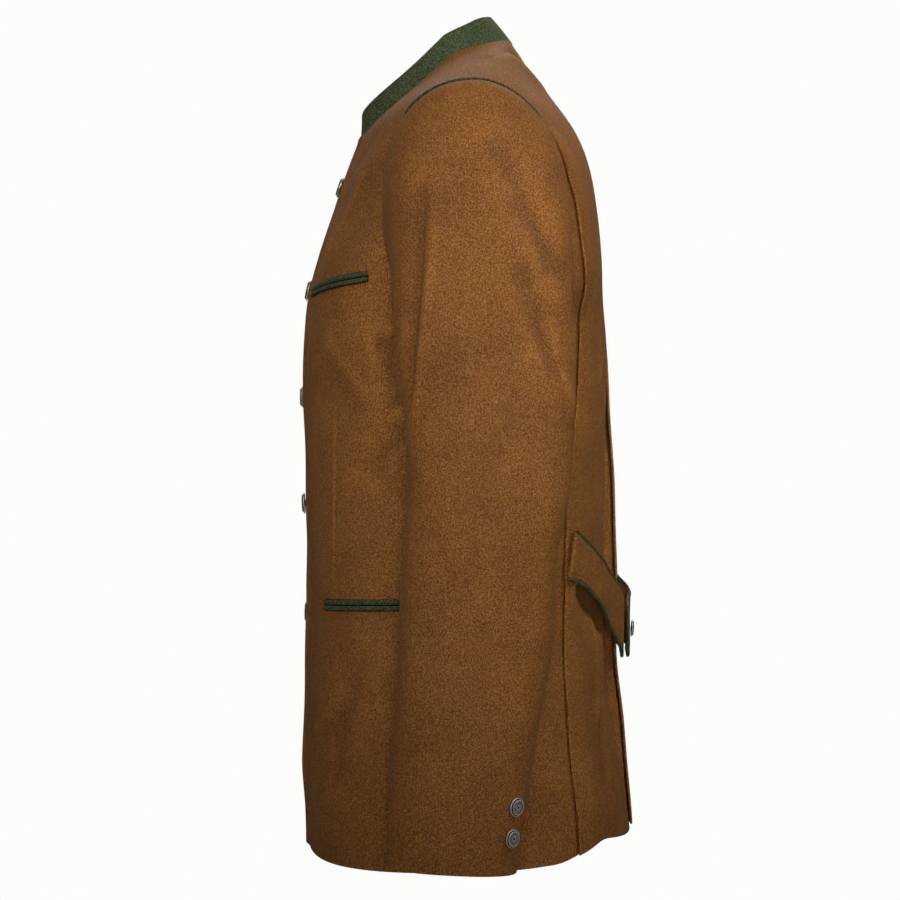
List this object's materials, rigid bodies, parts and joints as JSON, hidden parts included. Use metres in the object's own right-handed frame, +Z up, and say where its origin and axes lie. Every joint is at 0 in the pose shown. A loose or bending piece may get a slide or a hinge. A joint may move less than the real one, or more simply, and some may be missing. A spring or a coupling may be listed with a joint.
{
  "type": "tyrolean loden jacket",
  "caption": "Hip-length men's jacket of brown loden with a green stand collar, piped pockets, action pleats, a centre back pleat and a two-part back belt, filled out as worn.",
  "frame": {"origin": "middle of the neck opening, level with the points where the shoulder seams meet the collar", "axes": "+Z up along the wearer's spine, front faces -Y, the wearer's left is +X"},
  "size_m": [0.593, 0.3038, 0.7431],
  "materials": {
    "brown_loden": "milled brown wool loden with a short nap and a fine melange of ochre and dark fibres",
    "green_loden": "dark green melange loden, used for the collar and the piping",
    "buttons": "old silver buttons with a bright rim and a dark recess"
  },
  "bodies": {
    "root": {"armhole_piping_left": "green_loden", "armhole_piping_right": "green_loden", "back_left": "brown_loden", "back_pleat": "brown_loden", "back_right": "brown_loden", "belt_button": "buttons", "belt_left": "brown_loden", "belt_piping_left": "green_loden", "belt_piping_right": "green_loden", "belt_right": "brown_loden", "chest_pocket_lower": "green_loden", "chest_pocket_upper": "green_loden", "collar": "green_loden", "cuff_button_left_1": "buttons", "cuff_button_left_2": "buttons", "cuff_button_right_1": "buttons", "cuff_button_right_2": "buttons", "front_button_1": "buttons", "front_button_2": "buttons", "front_button_3": "buttons", "front_button_4": "buttons", "front_button_5": "buttons", "front_left": "brown_loden", "front_right": "brown_loden", "hip_pocket_left_lower": "green_loden", "hip_pocket_left_upper": "green_loden", "hip_pocket_right_lower": "green_loden", "hip_pocket_right_upper": "green_loden", "side_left": "brown_loden", "side_right": "brown_loden", "sleeve_under_left": "brown_loden", "sleeve_under_right": "brown_loden", "sleeve_upper_left": "brown_loden", "sleeve_upper_right": "brown_loden"}
  },
  "joints": []
}
